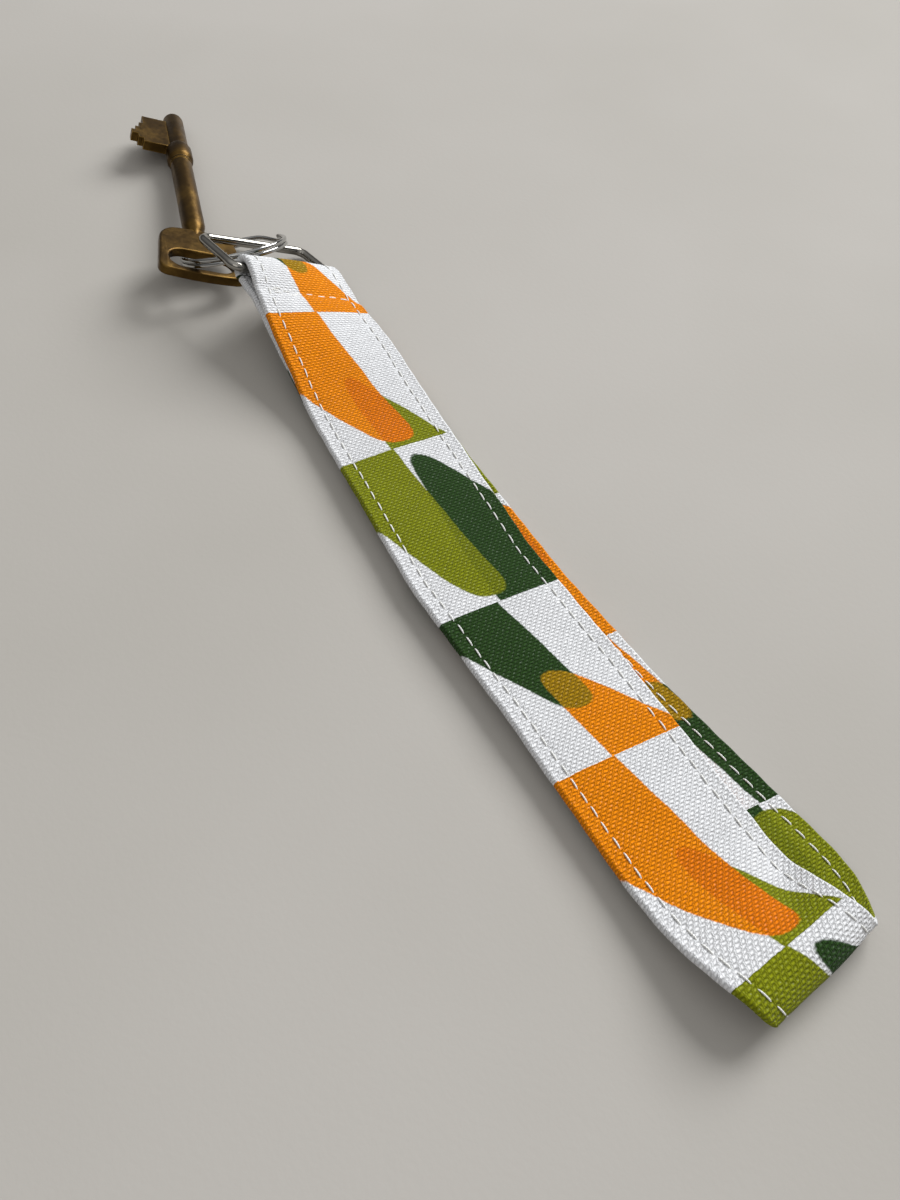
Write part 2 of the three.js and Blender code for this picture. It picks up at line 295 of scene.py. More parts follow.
def fabric_material():
    n = Nodes("printed_fabric")
    weave_vector, run, girth = n.uv("weave")
    colour, ink = printed_colour(n, weave_vector)
    thread = woven_threads(n, weave_vector, run, girth)
    slub = n.noise(weave_vector, 2.3, 3.0, 0.7)
    height = n.math("MULTIPLY_ADD", slub, 0.35, thread)

    # painted shade and highlight of the weave: the colour is darkened in the gaps between the threads and
    # lightened on their crowns, less on bare white yarn, which is more translucent than inked yarn, so its
    # gaps show less
    painted_gap_shade = n.math("MULTIPLY_ADD", ink, -0.20, 0.80)
    painted_crown_highlight = n.math("MULTIPLY_ADD", ink, 0.12, 1.10)
    light = n.scale_range(thread, 0.05, 0.9, painted_gap_shade, painted_crown_highlight)
    patchy = n.scale_range(n.noise(weave_vector, 0.35, 3.0), 0.3, 0.7, 0.955, 1.03)
    shade = n.math("MULTIPLY", light, patchy)
    tone = n.tree.nodes.new("ShaderNodeCombineColor")
    for socket in tone.inputs[:3]:
        n.link(shade, socket)
    # the weave's painted shade and highlight, with its random patches, multiply the print's colour
    colour = n.mix(1.0, colour, tone.outputs[0], "MULTIPLY")
    # bare yarn shows on the crowns of the floats, where the ink has not soaked in
    crown = n.scale_range(n.math("MULTIPLY", thread, slub), 0.46, 0.70, 0.0, 0.24)
    colour = n.mix(crown, colour, CLOTH)

    return n.set(Base_Color=colour, Roughness=0.92, Normal=n.bump(height, 0.8, 0.00034), Sheen_Weight=0.06,
                 Sheen_Roughness=0.5, Specular_IOR_Level=0.08)


def thread_material():
    n = Nodes("thread")
    _, run, girth = n.uv("weave")
    ply = n.math("SINE", n.math("MULTIPLY", n.math("ADD", run, n.math("MULTIPLY", girth, 0.6)), 14.0))
    # painted shade and highlight: the thread's colour is darker in the grooves of its twist and lighter on
    # its plies
    tone = n.ramp(n.math("MULTIPLY_ADD", ply, 0.5, 0.5), [(0.0, srgb("E6E6E2")), (1.0, srgb("FBFBF8"))])
    return n.set(Base_Color=tone, Roughness=0.6, Normal=n.bump(ply, 0.5, 0.00006), Sheen_Weight=0.2)


# ---- metal finishes -------------------------------------------------------------------------

def steel_material(name, colour, roughness, scratch):
    n = Nodes(name)
    place = n.place()
    smear = n.noise(place, 260, 4.0, 0.6)
    fine = n.noise(place, 2600, 2.0, 0.7)
    rough = n.scale_range(smear, 0.3, 0.75, roughness * 0.7, roughness * 1.7)
    tone = n.ramp(smear, [(0.3, tuple(c * 0.86 for c in colour[:3]) + (1.0,)), (0.7, colour)])
    return n.set(Base_Color=tone, Metallic=1.0, Roughness=rough,
                 Normal=n.bump(n.math("ADD", fine, smear), scratch, 0.00003))


def brass_material():
    n = Nodes("key_brass")
    place = n.place()
    geometry = n.tree.nodes.new("ShaderNodeNewGeometry")
    patches = n.noise(place, 130, 5.0, 0.62)
    specks = n.noise(place, 900, 3.0, 0.7)
    # an edge is where the normal, averaged over a small radius, leaves the true one
    rounded = n.tree.nodes.new("ShaderNodeBevel")
    rounded.samples = 8
    rounded.inputs["Radius"].default_value = 0.0005
    agree = n.tree.nodes.new("ShaderNodeVectorMath")
    agree.operation = "DOT_PRODUCT"
    n.link(rounded.outputs[0], agree.inputs[0])
    n.link(geometry.outputs["True Normal"], agree.inputs[1])
    wear = n.scale_range(n.math("MULTIPLY_ADD", specks, 0.03, agree.outputs["Value"]), 1.0, 0.94, 0.0, 1.0,
                         smooth=True)
    handled = n.scale_range(patches, 0.45, 0.7, 0.0, 0.3, smooth=True)
    dark = n.ramp(patches, [(0.3, srgb("46341A")), (0.7, srgb("614A24"))])
    tone = n.mix(n.math("MAXIMUM", wear, handled), dark, srgb("93743B"))
    rough = n.scale_range(specks, 0.3, 0.7, 0.30, 0.48)
    return n.set(Base_Color=tone, Metallic=1.0, Roughness=rough,
                 Normal=n.bump(n.math("ADD", specks, patches), 0.25, 0.00008))


# ---- the strap's middle line ----------------------------------------------------------------

WIDTH, THICK, GAP = 24.8, 1.9, 0.4  # the folded strip, and the gap between the loop's two runs
# towards the ring both runs rise, and roll so that their left edge is the higher, and just before it
# they part round its bar
RING_LIFT, RING_ROLL = 6.7, 27
RING_LIFT_FROM, RING_LIFT_TO = 135, 182
RING_OPEN_FROM = 168
BAR = joint_place("ring_swing")
BAR_YAW = 7
BAR_WRAP = 2.3  # from the bar's middle to the middle of the strap round it
NOSE_TURN = 84  # how far the strap turns round the bar to either side of its end, degrees
STATION_STEP = 0.5
SOFTEN_REACH = 3  # stations to either side that the path is averaged over
# the middle of each run seen from above, (x, y)
UPPER_LINE = ((185, 0), (150, -1), (122, 0), (92, 1), (60, -1), (26, -2.3))
LOWER_LINE = ((185, 0), (150, -1.6), (118, -1.2), (85, -2.4), (56, -5.4), (26, -10.5))
# the fold from the upper run to the lower one, (x, y, z, yaw of the strap's width in degrees)
FOLD = ((26, -2.3, 3.3, 0), (18, -3, 4.3, 2), (11, -4.4, 6, 7), (5, -6.7, 6.3, 11),
        (2.4, -8.8, 3.8, 12), (5.4, -11, 1.4, 11), (11, -12.2, 1, 7), (18, -11.8, 0.95, 2),
        (26, -10.5, 0.95, 0))


def smooth(start, end, x):
    t = np.clip((x - start) / (end - start), 0, 1)
    return t * t * (3 - 2 * t)


def unit(v):
    return v / np.linalg.norm(v, axis=-1, keepdims=True)


def width_direction(yaw, roll):
    """The strap's width, +Y turned by a roll about X and then a yaw about Z, in degrees."""
    yaw, roll = np.radians(yaw), np.radians(roll)
    return np.stack([-np.sin(yaw) * np.cos(roll), np.cos(yaw) * np.cos(roll),
                     np.sin(roll) + 0 * yaw], -1)


def run_stations(side, x):
    """Stations on the upper run, side +1, or the lower one, side -1."""
    line = np.array(UPPER_LINE if side > 0 else LOWER_LINE)[::-1]
    rise = smooth(RING_LIFT_FROM, RING_LIFT_TO, x)
    opened = smooth(RING_OPEN_FROM, BAR[0], x)
    half = (THICK + GAP) / 2 * (1 - opened) + BAR_WRAP * opened
    roll = np.radians(RING_ROLL * rise)
    y = np.interp(x, line[:, 0], line[:, 1]) - side * half * np.sin(roll)
    z = THICK + GAP / 2 + RING_LIFT * rise + side * half * np.cos(roll)
    return np.stack([x, y, z], -1), width_direction(BAR_YAW * opened, RING_ROLL * rise)


def nose_stations(angle):
    """Stations round the wire ring's bar, at angles from its far side, positive upwards."""
    across = width_direction(np.array(BAR_YAW), np.array(RING_ROLL))
    up = unit(np.array([0, 0, 1]) - across * across[2])
    out = np.cross(across, up)
    a = np.radians(angle)[:, None]
    points = BAR + BAR_WRAP * (out * np.cos(a) + up * np.sin(a))
    return points, np.broadcast_to(across, points.shape)


def catmull_rom(knots, t):
    """The uniform Catmull-Rom curve through knots at t, from 0 to 1."""
    k = np.vstack([2 * knots[0] - knots[1], knots, 2 * knots[-1] - knots[-2]])
    place = np.clip(t, 0, 1) * (len(knots) - 1)
    i = np.minimum(place.astype(int), len(knots) - 2)
    f = (place - i)[:, None]
    p0, p1, p2, p3 = (k[i + n] for n in range(4))
    m1, m2 = (p2 - p0) / 2, (p3 - p1) / 2
    return (p1 * (2 * f**3 - 3 * f**2 + 1) + m1 * (f**3 - 2 * f**2 + f)
            + p2 * (3 * f**2 - 2 * f**3) + m2 * (f**3 - f**2))


def fold_stations(t):
    """Stations along the fold, t going from 0 at the upper run to 1 at the lower one."""
    made = catmull_rom(np.array(FOLD, float), t)
    return made[:, :3], width_direction(made[:, 3], 0 * t)


def soften(values, reach):
    """A moving average along the path, weighted to its middle, that keeps both ends."""
    kernel = np.hanning(2 * reach + 3)[1:-1]
    kernel /= kernel.sum()
    padded = np.vstack([2 * values[:1] - values[reach:0:-1], values,
                        2 * values[-1:] - values[-2:-reach - 2:-1]])
    return np.stack([np.convolve(c, kernel, "valid") for c in padded.T], -1)


def strap_path(step):
    """The whole loop's middle line at even steps, as points, width directions, outward directions and
    distances along it, and a function for the distance at which a run, +1 or -1, passes x."""
    run_x = np.arange(BAR[0] - 0.3, HINGES["turn"] + 0.2, -STATION_STEP)
    parts = [nose_stations(np.linspace(-NOSE_TURN, NOSE_TURN, 15)), run_stations(1, run_x),
             fold_stations(np.linspace(0, 1, 140)), run_stations(-1, run_x[::-1])]
    points, across = (np.vstack([p[i] for p in parts]) for i in (0, 1))
    length = np.r_[0, np.cumsum(np.linalg.norm(np.diff(points, axis=0), axis=1))]
    s = np.linspace(0, length[-1], int(round(length[-1] / step)) + 1)
    both = np.stack([np.interp(s, length, c) for c in np.hstack([points, across]).T], -1)
    both = soften(both, SOFTEN_REACH)
    points, across = both[:, :3], unit(both[:, 3:])
    along = unit(np.gradient(points, axis=0))
    outward = unit(np.cross(across, along))
    upper_from = len(parts[0][0])
    upper_length, lower_length = length[upper_from:upper_from + len(run_x)], length[-len(run_x):]

    def at(side, x):
        if side > 0:
            return float(np.interp(-x, -run_x, upper_length))
        return float(np.interp(x, run_x[::-1], lower_length))

    return points, across, outward, s, at


# ---- meshes from grids of points ------------------------------------------------------------

def mesh_object(name, points, faces, material, uvs=None):
    """uvs maps a layer's name to one (u, v) for each corner of each face, in order. A face with more
    than four sides is an end cap, and its rim stays sharp."""
    mesh = bpy.data.meshes.new(name)
    mesh.from_pydata([tuple(p) for p in points], [], [tuple(int(i) for i in f) for f in faces])
    mesh.materials.append(material)
    mesh.polygons.foreach_set("use_smooth", [True] * len(mesh.polygons))
    for layer, corners in (uvs or {}).items():
        made = mesh.uv_layers.new(name=layer)
        made.data.foreach_set("uv", np.asarray(corners, np.float32).ravel())
    rims = {key for face in mesh.polygons if len(face.vertices) > 4 for key in face.edge_keys}
    for edge in mesh.edges:
        edge.use_edge_sharp = edge.key in rims
    thing = bpy.data.objects.new(name, mesh)
    bpy.context.scene.collection.objects.link(thing)
    return thing


def grid_faces(rings, size, closed_path=False):
    """Quads of a tube of rings of points, each ring closed, in the order ring by ring."""
    i = np.arange(rings if closed_path else rings - 1)[:, None]
    j = np.arange(size)[None, :]
    k, m = (i + 1) % rings, (j + 1) % size
    quad = np.stack([i * size + j, i * size + m, k * size + m, k * size + j], -1)
    return quad.reshape(-1, 4)


# ---- the strap ------------------------------------------------------------------------------

# On the strap, s is a distance along it from under the ring's bar, a is a way across it, to the left
# when positive, and a height is counted from its middle out of the loop, all in millimetres.
STEP = 0.7  # between the strap's rings of points
CREASE_GAP = 0.01  # between the two halves of the fold
EDGE_ROUND = 0.86  # the radius of the strap's edges
STITCH_INSET = 2.8
STITCH_ROW = WIDTH / 2 - STITCH_INSET
STITCH_PITCH, STITCH_LENGTH, STITCH_RADIUS = 2.9, 2.3, 0.15
STITCH_POINTS = 7  # along one stitch
POINTS, ACROSS, OUTWARD, DISTANCE, distance_at = strap_path(STEP)
FOLD_START, FOLD_END = distance_at(1, 27), distance_at(-1, 27)
# a valley runs in from the right edge to the fold's middle
VALLEY_LENGTH, VALLEY_DEPTH, VALLEY_REACH = 24, 1.0, 4.2
VALLEY_START_A = -13
# the row that closes the ring pocket: where it crosses the strap, how far it slants in a millimetre
# across, and how far its pinch of the cloth reaches
CROSS_STITCH_AT = distance_at(1, 168.8)
CROSS_STITCH_A, CROSS_STITCH_SLANT = 2.4, 0.08
PINCH_REACH, PINCH_DEPTH = 1.1, 0.28

# where the print's cells start, as distances along the strap: four on the upper run, one on the
# fold and the rest on the lower run
CELL_STARTS = [21.7, 61.6, 103.6, 139.3, 178.5] + [
    distance_at(-1, x) for x in (29.4, 68.7, 107, 145)]
# how far the print's middle line lies to the left of the strap's on its outer face, and to the right
# of it on its inner face, where it moves over from one place to the other along a stretch
OUTER_MIDDLE = 0.9
INNER_MIDDLE = {"fold": 7.0, "run": 9.5}
INNER_STRETCH = (CELL_STARTS[4], CELL_STARTS[5] + 15)


def print_cell(s):
    """The number of the print's cell at a distance along the strap, whole where the cell starts."""
    starts = np.array(CELL_STARTS)
    inside = np.interp(s, starts, np.arange(1, len(starts) + 1))
    before = 1 + (s - starts[0]) / REPEAT
    after = len(starts) + (s - starts[-1]) / REPEAT
    return np.where(s < starts[0], before, np.where(s > starts[-1], after, inside))


def relief(s, a):
    """How far the cloth stands out of the loop: soft waves, puckers at the edge stitches and the valley."""
    broad_waves = 0.10 * np.sin(s / 6.1 + 0.25 * a) * np.cos(a / 5.3 + s / 17)
    waves = broad_waves + 0.07 * np.sin(s / 2.9 - a / 3.1)
    waves *= np.where(s > FOLD_END, 0.35, 1)  # the lower run lies pressed flat on the table
    near_edge = smooth(STITCH_ROW - 1.5, WIDTH / 2, np.abs(a))
    puckers = 0.07 * near_edge * np.sin(math.pi * s / STITCH_PITCH + np.sign(a))
    t = np.clip((s - FOLD_START) / VALLEY_LENGTH, 0, 1)
    off = (a - VALLEY_START_A * (1 - t ** 1.4)) / VALLEY_REACH
    depth = VALLEY_DEPTH * np.sin(math.pi * np.clip(t * 1.05 + 0.02, 0, 1)) ** 0.8
    # the strap is smooth where it wraps the wire ring's bar
    return (waves + puckers) * smooth(4, 14, s) - depth * np.exp(-off ** 2)


def cross_stitch_at(a):
    """Where the slanting row that closes the ring pocket lies along the strap, at a way across."""
    return CROSS_STITCH_AT - CROSS_STITCH_SLANT * (a - CROSS_STITCH_A)


def pinch(s, a):
    """0 on the open strap to 1 under the cross stitching that closes the ring pocket."""
    return np.exp(-((s - cross_stitch_at(a)) / PINCH_REACH) ** 2)


def section():
    """The strap's outline as points (across, outward, side), side being +1 for the outer face and -1
    for the inner one: the outer face, the right edge, the inner face and the left edge."""
    half, edge = THICK / 2, EDGE_ROUND
    flat = WIDTH / 2 - edge
    coarse = np.arange(-flat, flat + 0.01, 2 * flat / 30)
    # finer points at the two rows of stitches, where the cloth is drawn in to a groove
    fine = np.arange(-0.9, 0.91, 0.3)
    across = np.unique(np.round(np.concatenate([coarse, STITCH_ROW + fine, fine - STITCH_ROW]), 2))
    across = across[np.r_[True, np.diff(across) > 0.12]]
    crown = half * (0.93 + 0.07 * np.cos(math.pi * np.clip(across / STITCH_ROW, -1, 1)))
    groove = 0.17 * np.exp(-((np.abs(across) - STITCH_ROW) / 0.5) ** 2)
    taper = (half - edge) * smooth(STITCH_ROW, flat, np.abs(across)) * 0.9
    face = np.stack([across, crown - groove - taper, np.ones_like(across)], -1)
    turn = np.radians(np.arange(75, -76, -15))
    # the right edge is the open one, so it is parted by a slit along its middle
    slit = 0.32 * np.exp(-(np.degrees(turn) / 9) ** 2)
    right = np.stack([-flat - (edge - slit) * np.cos(turn), (edge - slit) * np.sin(turn),
                      np.sign(turn + 0.01)], -1)
    left = np.stack([flat + edge * np.cos(turn), -edge * np.sin(turn), -np.sign(turn - 0.01)], -1)
    inner = face * (1, -1, -1)
    return np.vstack([face[::-1], right, inner, left])


SECTION = section()


def surface(s, a, height):
    """The places at some distances along the strap, ways across it and heights off its middle."""
    def read(values):
        return np.stack([np.interp(s, DISTANCE, c) for c in values.T], -1)
    squeeze = 1 - PINCH_DEPTH * pinch(s, a)
    out = height * squeeze + relief(s, a)
    return read(POINTS) + read(ACROSS) * a[:, None] + read(OUTWARD) * out[:, None]


def strap_piece(name, start, end, material, gap):
    """The strap between two stations; gap is how far past the first one it starts."""
    rings = np.arange(start, end + 1)
    size = len(SECTION)
    distances = DISTANCE[rings]
    distances[0] += gap
    s = np.repeat(distances, size)
    a, height = (np.tile(c, len(rings)) for c in SECTION.T[:2])
    outline = np.vstack([SECTION, SECTION[:1]])[:, :2]
    girth = np.r_[0, np.cumsum(np.linalg.norm(np.diff(outline, axis=0), axis=1))]
    points = row(surface(s, a, height))
    faces = grid_faces(len(rings), size)
    # a face takes one side of the print, the one that most of its corners are on, for all of them
    corner_ring, corner_point = faces // size, faces % size
    quad_side = np.where(SECTION[corner_point, 2].sum(1) >= 0, 1, -1)[:, None]
    corner_s = distances[corner_ring]
    corner_a = SECTION[corner_point, 0]
    # the last quad of a ring closes it, so its corners at point 0 are the full girth round
    wrap = np.where((corner_point == 0) & (corner_point[:, 1:2] == 0), girth[-1], girth[corner_point])
    inner = np.interp(corner_s, INNER_STRETCH, (INNER_MIDDLE["fold"], INNER_MIDDLE["run"]))
    print_middle = np.where(quad_side > 0, OUTER_MIDDLE, inner)
    print_uv = np.stack([print_cell(corner_s), quad_side * corner_a - print_middle], -1)
    weave_uv = np.stack([corner_s, wrap], -1)
    caps = [list(range(size))[::-1], [(len(rings) - 1) * size + j for j in range(size)]]
    cap_uv = [(0, 0)] * (2 * size)
    everything = [list(f) for f in faces] + caps
    uvs = {"print": np.vstack([print_uv.reshape(-1, 2), cap_uv]),
           "weave": np.vstack([weave_uv.reshape(-1, 2), cap_uv])}
    return mesh_object(name, points, everything, material, uvs)


def capsule_strip(paths, radius, sides=6):
    """Points, faces and uvs of one thin rounded thread along each path, an array of points in mm."""
    no_stitch_way = (0.13, 0.21, 0.97)  # a direction that no stitch lies along
    girth_of_side = 0.2  # how far round the thread one of its sides counts in its uvs, mm
    points, faces, uvs = [], [], []
    for path in paths:
        along = unit(np.gradient(path, axis=0))
        aside = unit(np.cross(along, no_stitch_way))
        over = np.cross(aside, along)
        n = len(path)
        swell = np.sqrt(np.clip(1 - np.linspace(-1, 1, n) ** 6, 0.04, 1)) * radius
        angle = np.linspace(0, 2 * math.pi, sides, endpoint=False)
        ring = (path[:, None] + swell[:, None, None] * (
            np.cos(angle)[None, :, None] * aside[:, None] + np.sin(angle)[None, :, None] * over[:, None]))
        base = sum(len(p) for p in points)
        points.append(ring.reshape(-1, 3))
        length = np.r_[0, np.cumsum(np.linalg.norm(np.diff(path, axis=0), axis=1))]
        for quad in grid_faces(n, sides):
            faces.append([base + q for q in quad])
            uvs += [(length[q // sides], (q % sides) * girth_of_side) for q in quad]
        for cap in (list(range(sides))[::-1], [(n - 1) * sides + j for j in range(sides)]):
            faces.append([base + q for q in cap])
            uvs += [(0, 0)] * sides
    return np.vstack(points), faces, {"weave": uvs}


def stitch_paths(start, end):
    """The stitches on both faces of a stretch of strap, between two distances along it. Each is a
    little out of line, and its ends go down into the cloth."""
    top = THICK / 2 * 0.86 + 0.02
    first = math.ceil(start / STITCH_PITCH - 0.5)
    last = math.floor(end / STITCH_PITCH - 0.5)
    t = np.linspace(-1, 1, STITCH_POINTS)
    paths = []
    for face in (1, -1):
        for a in (STITCH_ROW, -STITCH_ROW):
            for k in range(first, last + 1):
                aside = 0.055 * math.sin(2.3 * k + a)
                middle = (k + 0.5) * STITCH_PITCH + 0.15 * math.sin(5.1 * k + face)
                s = np.clip(middle + t * STITCH_LENGTH / 2, 0, DISTANCE[-1])
                height = top - 0.26 * np.abs(t) ** 3
                paths.append(surface(s, a + aside + 0.05 * t, face * height))
    return paths


def cross_stitch_paths():
    """The row across the strap that closes the ring pocket, sewn over itself at its left end."""
    # each pass of the needle is (its shift along the strap, from a, to a)
    passes = ((0, -STITCH_ROW, STITCH_ROW), (0.75, 2.2, STITCH_ROW), (-0.6, 5.5, STITCH_ROW))
    pitch, half_length = 2.5, 1.08
    top = THICK / 2 * 0.74 + 0.16
    t = np.linspace(-1, 1, STITCH_POINTS)
    paths = []
    for shift, from_a, to_a in passes:
        count = int((to_a - from_a) / pitch)
        for k in range(count):
            a = from_a + (k + 0.5) * (to_a - from_a) / count + t * half_length
            s = cross_stitch_at(a) + shift + 0.12 * math.sin(3.7 * k) + 0.05 * t
            paths.append(surface(s, a, top - 0.3 * np.abs(t) ** 3))
    return paths


def index_at(side, x):
    """The station nearest to where a run, +1 or -1, passes x."""
    return int(np.argmin(np.abs(DISTANCE - distance_at(side, x))))


def wrist_loop(fabric, thread):
    """Three stretches along each run, each reaching across one hinge of the CAD."""
    near, far = (HINGES["ring"] + HINGES["middle"]) / 2, (HINGES["middle"] + HINGES["turn"]) / 2
    crease = int(np.argmin(POINTS[:, 0]))
    # the stations where the six pieces meet
    cuts = [0, index_at(1, near), index_at(1, far), crease, index_at(-1, far), index_at(-1, near),
            len(DISTANCE) - 1]
    # a piece's name, its two bodies, the hinge between them, its run and the CAD stretches it stands for
    stretches = (
        ("pocket_upper", "ring_end", "upper_near", "ring", "upper", ("ring_pocket",)),
        ("upper_middle", "upper_near", "upper_far", "middle", "upper", ("upper_near",)),
        ("fold_upper", "upper_far", "fold_upper", "turn", "upper", ("upper_far", "fold_upper")),
        ("fold_lower", "lower_far", "fold_lower", "turn", "lower", ("lower_far", "fold_lower")),
        ("lower_middle", "lower_near", "lower_far", "middle", "lower", ("lower_near",)),
        ("pocket_lower", "ring_end", "lower_near", "ring", "lower", ("ring_pocket",)),
    )
    for (name, before, after, hinge, run, stands_for), start, end in zip(stretches, cuts, cuts[1:]):
        gap = CREASE_GAP if start == crease else 0
        cloth = strap_piece("strap_" + name, start, end, fabric, gap)
        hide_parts(*(f"{n}_{part}" for n in stands_for for part in ("fabric", "stiffener")))
        paths = stitch_paths(DISTANCE[start], DISTANCE[end])
        points, faces, uvs = capsule_strip(paths, STITCH_RADIUS)
        rows = mesh_object("stitches_" + name, row(points), faces, thread, uvs)
        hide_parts(*(f"{n}_stitch_{side}" for n in stands_for for side in ("left", "right")))
        for piece in (cloth, rows):
            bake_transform(piece)
    points, faces, uvs = capsule_strip(cross_stitch_paths(), STITCH_RADIUS * 1.1)
    cross = mesh_object("cross_stitches", row(points), faces, thread, uvs)
    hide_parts("pocket_cross_stitch")
    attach(cross, "ring_end")


# ---- rings ----------------------------------------------------------------------------------

def swept(name, path, section_points, material, normals, closed):
    """A tube: section_points, (sideways, up), carried along path, with up from normals."""
    along = unit(np.roll(path, -1, 0) - np.roll(path, 1, 0) if closed else np.gradient(path, axis=0))
    aside = unit(np.cross(normals, along))
    up = np.cross(along, aside)
    ring = path[:, None] + (section_points[None, :, :1] * aside[:, None]
                            + section_points[None, :, 1:] * up[:, None])
    size = len(section_points)
    faces = [list(f)[::-1] for f in grid_faces(len(path), size, closed)]
    if not closed:
        faces += [list(range(size)), [(len(path) - 1) * size + j for j in range(size)][::-1]]
    return mesh_object(name, row(ring.reshape(-1, 3)), faces, material)


def wire_section(radius, sides, roundness=1.0):
    """A wire's outline: a circle, or a flatter-sided shape with a roundness below 1."""
    angle = np.linspace(0, 2 * math.pi, sides, endpoint=False)
    circle = np.stack([np.cos(angle), np.sin(angle)], -1)
    return radius * np.sign(circle) * np.abs(circle) ** roundness


def wire_ring(material):
    """A rounded rectangle of wire, whose own origin is the middle of the bar that the strap holds."""
    bar, leg, wire_radius, corner, dip = 27.8, 14.8, 0.97, 2.2, 5.4
    turn = np.array(turned(("Z", BAR_YAW), ("X", RING_ROLL), ("Y", dip)))
    outline = []
    for cx, cy, first in ((leg - corner, bar / 2 - corner, 90), (leg - corner, corner - bar / 2, 0),
                          (corner, corner - bar / 2, -90), (corner, bar / 2 - corner, -180)):
        for angle in np.radians(np.linspace(first, first - 90, 9)):
            outline.append((cx + corner * math.cos(angle), cy + corner * math.sin(angle), 0))
    outline = np.array(outline)
    # extra points along the straight sides keep the shading even
    dense = []
    for p, q in zip(outline, np.roll(outline, -1, 0)):
        parts = 6 if np.linalg.norm(q - p) > corner else 1
        dense += [p + (q - p) * t for t in np.linspace(0, 1, parts + 1)[:-1]]
    path = np.array(dense)
    ring = swept("wire_ring_polished", BAR + path @ turn.T, wire_section(wire_radius, 28), material,
                 np.broadcast_to(turn @ (0, 0, 1), path.shape), closed=True)
    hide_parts("wire_ring")
    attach(ring, "wire_ring")


def split_ring(material):
    """Nearly two flat turns of wire, one on the other, with a jog from the first to the second."""
    radius, wire_radius, pitch = 11.6, 0.47, 1.02
    first, last, jog = 20, 700, 34  # where the wire starts and ends, and the jog's length, in degrees
    turn = np.array(turned(("Y", 29), ("Z", -60)))
    degrees = np.linspace(first, last, 300)
    angle = np.radians(degrees)
    height = pitch * (smooth(360 - jog / 2, 360 + jog / 2, degrees) - 0.5)
    path = np.stack([radius * np.cos(angle), radius * np.sin(angle), height], -1)
    centre = joint_place("key_travel")
    ring = swept("split_ring_polished", centre + path @ turn.T, wire_section(wire_radius, 20, 0.8), material,
                 np.broadcast_to(turn @ (0, 0, 1), path.shape), closed=False)
    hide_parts("split_ring")
    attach(ring, "split_ring")


# ---- the key --------------------------------------------------------------------------------
# Its own axes, in millimetres: +X along the shank from the bow's inner edge, +Y towards the bit.
KEY_PLACE = (202.2, 12.3, 6)
KEY_TURNS = (("Z", -14), ("Y", 3.45), ("X", 18))
SHANK_RADIUS, SHANK_END = 2.6, 55
SMOOTH_BELOW = math.radians(32)  # an edge between faces at less than this angle is shaded smooth


def quadratic(p, q, r, count=10):
    """Points of the curve from p to r that is drawn towards q, without p itself."""
    t = np.linspace(0, 1, count)[1:, None]
    p, q, r = (np.array(v, float) for v in (p, q, r))
    return list(p * (1 - t) ** 2 + q * 2 * t * (1 - t) + r * t ** 2)


def plate(name, loops, thickness, bevel):
    """A flat plate with rounded edges; loops are its outline and then any holes, in mm."""
    data = bpy.data.curves.new(name, "CURVE")
    data.dimensions = "2D"
    data.fill_mode = "BOTH"
    data.extrude = (thickness / 2 - bevel) * MM
    data.bevel_depth = bevel * MM
    data.bevel_resolution = 3
    data.offset = -bevel * MM
    for loop in loops:
        spline = data.splines.new("POLY")
        spline.points.add(len(loop) - 1)
        for point, (x, y) in zip(spline.points, loop):
            point.co = (x * MM, y * MM, 0, 1)
        spline.use_cyclic_u = True
    source = bpy.data.objects.new(name, data)
    bpy.context.scene.collection.objects.link(source)
    bpy.context.view_layer.update()
    mesh = bpy.data.meshes.new_from_object(source.evaluated_get(bpy.context.evaluated_depsgraph_get()))
    bpy.data.objects.remove(source)
    return mesh


def bow_plate():
    """The bow: a plate that widens from the shank to its far edge, with a slot across it."""
    depth, near, far = 17.5, 8.6, 9.6  # its length, and half its width near the shank and far from it
    outline = [(3 - depth, -far), (-4, -near)]
    outline += quadratic((-4, -near), (-0.6, -8), (0.4, -5))
    outline += quadratic((0.4, -5), (1.2, 0), (0.4, 5))
    outline += quadratic((0.4, 5), (-0.6, 8), (-4, near))
    outline += [(3 - depth, far)]
    outline += quadratic((3 - depth, far), (0.6 - depth, far), (0.5 - depth, 7))
    outline += quadratic((0.5 - depth, 7), (-depth - 0.4, 0), (0.5 - depth, -7))
    outline += quadratic((0.5 - depth, -7), (0.6 - depth, -far), (3 - depth, -far))[:-1]
    slot_x, slot_length, slot_width = -12, 14.4, 6.8
    r = slot_width / 2
    slot = []
    for cy, first in ((slot_length / 2 - r, 0), (r - slot_length / 2, 180)):
        for angle in np.radians(np.linspace(first, first + 180, 17)):
            slot.append((slot_x + r * math.cos(angle), cy + r * math.sin(angle)))
    return plate("bow", [outline, slot], thickness=2.2, bevel=0.45)


def bit_plate():
    """The bit, with the steps that lift the lock's levers."""
    steps = [(38.5, 0.2), (38.5, 8.6), (40.1, 8.6), (40.1, 9.8), (41.9, 9.8), (41.9, 11.3), (43.7, 11.3),
             (43.7, 10.2), (45.5, 10.2), (45.5, 9.2), (47.7, 9.2), (47.7, 8.2), (51.5, 8.2), (51.5, 0.2)]
    return plate("bit", [steps], thickness=2.4, bevel=0.13)


